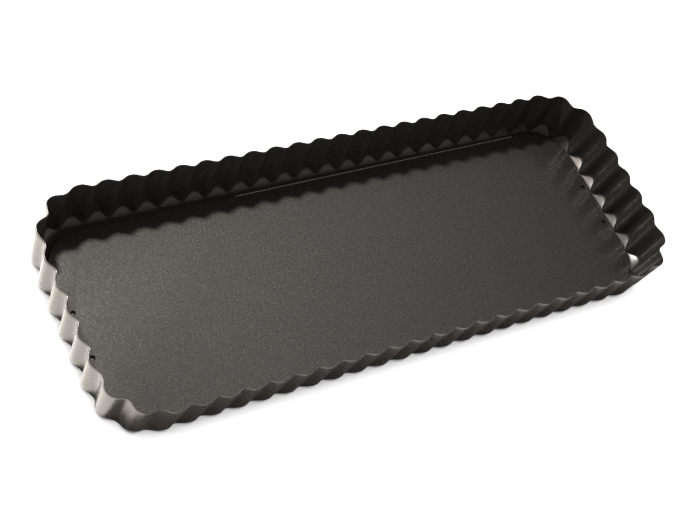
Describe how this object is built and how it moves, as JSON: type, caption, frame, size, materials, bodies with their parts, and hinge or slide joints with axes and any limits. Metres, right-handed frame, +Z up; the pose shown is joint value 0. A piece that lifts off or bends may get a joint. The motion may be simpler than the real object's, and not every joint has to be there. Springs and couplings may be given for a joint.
{
  "type": "tart pan",
  "caption": "Rectangular fluted tart pan in dark non-stick steel: a crimped ring with an inward ledge and a flat loose base that lifts out.",
  "frame": {"origin": "middle of the pan, on the underside of the ring's ledge, which is the face that it stands on", "axes": "+X along the long sides, +Y towards the back long side, +Z up to the rim"},
  "size_m": [0.36, 0.1294, 0.029],
  "materials": {
    "ring_coating": "dark grey non-stick coating, satin",
    "base_coating": "dark grey non-stick coating, satin, finely speckled"
  },
  "bodies": {
    "ring": {"fluted_ring": "ring_coating"},
    "base": {"loose_base": "base_coating"}
  },
  "joints": [
    {"name": "base_lift", "type": "slide", "parent": "ring", "child": "base", "axis": [0, 0, 1], "range_m": [0, 0.06]}
  ]
}
